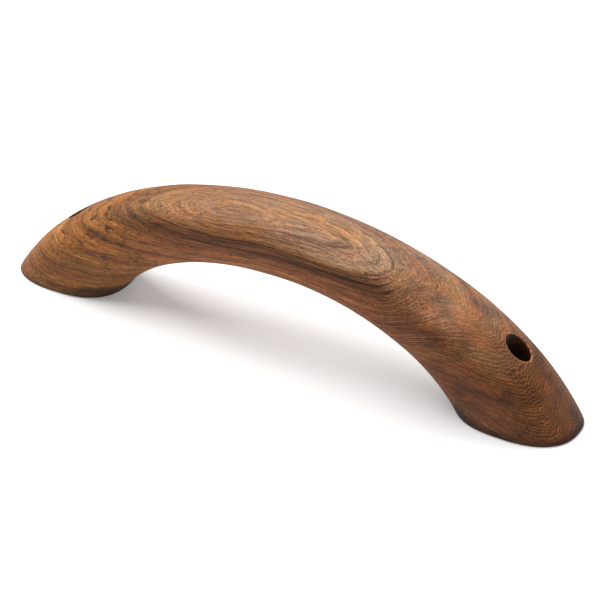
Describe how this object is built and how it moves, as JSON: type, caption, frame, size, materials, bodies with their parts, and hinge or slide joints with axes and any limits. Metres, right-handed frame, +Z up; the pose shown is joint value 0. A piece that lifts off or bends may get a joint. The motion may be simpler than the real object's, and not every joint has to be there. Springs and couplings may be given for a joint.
{
  "type": "grab rail",
  "caption": "Arched one-piece hardwood grab rail on two flat feet, each foot drilled and counterbored for a countersunk wood screw.",
  "frame": {"origin": "on the mounting plane under the feet, midway between the two feet and midway across the rail", "axes": "+X along the rail from foot to foot, +Y across the rail through the finger gap, +Z up from the mounting plane"},
  "size_m": [0.2498, 0.0368, 0.0593],
  "materials": {
    "timber": "oiled, fine sanded",
    "stainless_steel": "plain"
  },
  "bodies": {
    "rail": {"rail_body": "timber"},
    "left_fastener": {"left_screw": "stainless_steel"},
    "right_fastener": {"right_screw": "stainless_steel"}
  },
  "joints": [
    {"name": "left_screw_drive", "type": "slide", "parent": "rail", "child": "left_fastener", "axis": [0, 0, -1], "range_m": [0, 0.0105]},
    {"name": "right_screw_drive", "type": "slide", "parent": "rail", "child": "right_fastener", "axis": [0, 0, -1], "range_m": [0, 0.0105]}
  ]
}
